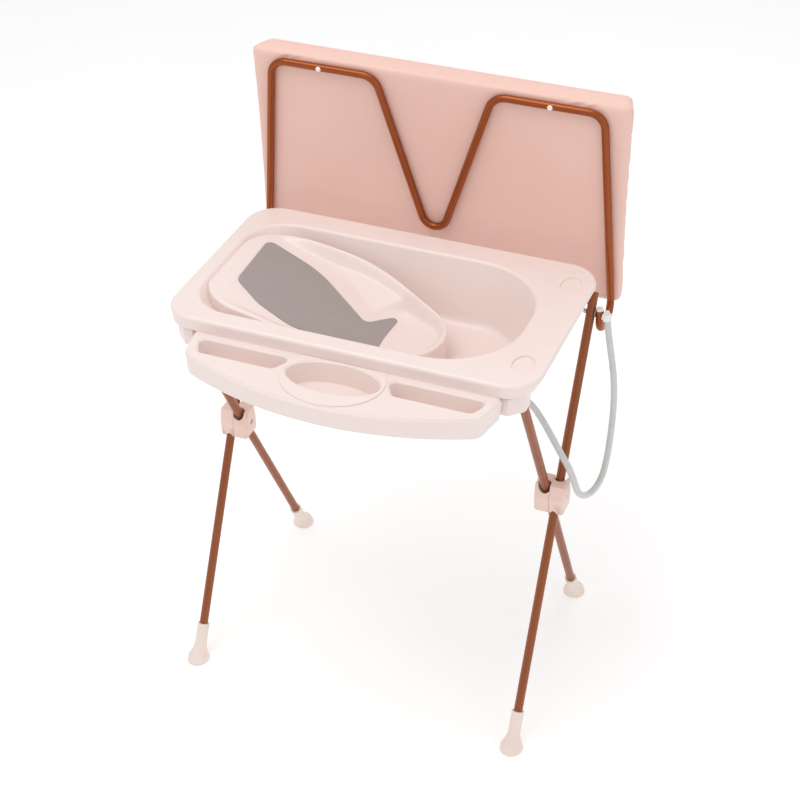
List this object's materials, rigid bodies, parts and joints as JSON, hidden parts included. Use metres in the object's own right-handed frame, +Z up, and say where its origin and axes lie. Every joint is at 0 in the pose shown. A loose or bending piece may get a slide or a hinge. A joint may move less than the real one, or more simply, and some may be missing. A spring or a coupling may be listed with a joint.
{
  "type": "changing table",
  "caption": "Baby bath on a folding crossed-leg stand, with a flip-up padded changing mat, bath seat, front accessory tray and drain hose",
  "frame": {"origin": "On the floor, midway between the tray's tip and the mat's back and between the left and right legs.", "axes": "X runs along the tub to its drain end, Y from the tray to the mat hinge, Z up."},
  "size_m": [0.878, 0.7421, 1.2882],
  "materials": {
    "pale_pink_plastic": "satin moulded",
    "pink_plastic": "satin moulded",
    "beige_plastic": "matt moulded",
    "copper_tube": "copper-coloured gloss paint",
    "grey_rubber": "matt",
    "steel": "plain",
    "white_plastic": "smooth",
    "hose_plastic": "cloudy",
    "pink_vinyl": "coated cloth, satin",
    "board": "plain board"
  },
  "bodies": {
    "outer_legs": {"outer_leg_left": "copper_tube", "outer_leg_right": "copper_tube", "rear_cross_bar": "copper_tube", "front_foot_left": "beige_plastic", "front_foot_right": "beige_plastic", "pivot_clip_outer_left": "pink_plastic", "pivot_clip_outer_right": "pink_plastic", "leg_pivot_pins": "steel", "leg_pivot_nuts": "steel", "leg_top_plugs": "beige_plastic", "mat_hinge_bolts": "steel", "mat_hinge_nuts": "steel", "mat_hinge_washers": "steel"},
    "inner_legs": {"inner_leg_left": "copper_tube", "inner_leg_right": "copper_tube", "front_cross_bar": "copper_tube", "rear_foot_left": "beige_plastic", "rear_foot_right": "beige_plastic", "pivot_clip_inner_left": "pink_plastic", "pivot_clip_inner_right": "pink_plastic", "front_corner_bracket_left": "pink_plastic", "front_corner_bracket_right": "pink_plastic"},
    "tub": {"tub_shell": "pale_pink_plastic", "bath_seat": "pale_pink_plastic", "seat_grip_pad": "grey_rubber", "accessory_tray": "pale_pink_plastic", "tray_screws": "steel", "front_saddle_left": "pink_plastic", "front_saddle_right": "pink_plastic", "rear_saddle_left": "pink_plastic", "rear_saddle_right": "pink_plastic", "drain_strainer": "white_plastic", "drain_washer": "grey_rubber", "drain_nut": "white_plastic", "drain_elbow": "white_plastic", "drain_hose": "hose_plastic", "hose_hook": "white_plastic"},
    "mat": {"mat_frame": "copper_tube", "mat_board": "board", "mat_pad": "pink_vinyl", "mat_screws": "white_plastic", "mat_end_caps": "white_plastic"}
  },
  "joints": [
    {"name": "mat_hinge", "type": "hinge", "parent": "outer_legs", "child": "mat", "pos_m": [0, 0.2005, 0.86], "axis": [1, 0, 0], "range_deg": [0, 88]},
    {"name": "tub_lift", "type": "slide", "parent": "outer_legs", "child": "tub", "axis": [0, 0, 1], "range_m": [0, 0.8]},
    {"name": "leg_fold", "type": "hinge", "parent": "outer_legs", "child": "inner_legs", "pos_m": [0, 0.02649, 0.50994], "axis": [-1, 0, 0], "range_deg": [0, 49]}
  ],
  "couplings": [
    {"joint": "leg_fold", "follows": "tub_lift", "rad_per_m": 1.069}
  ]
}
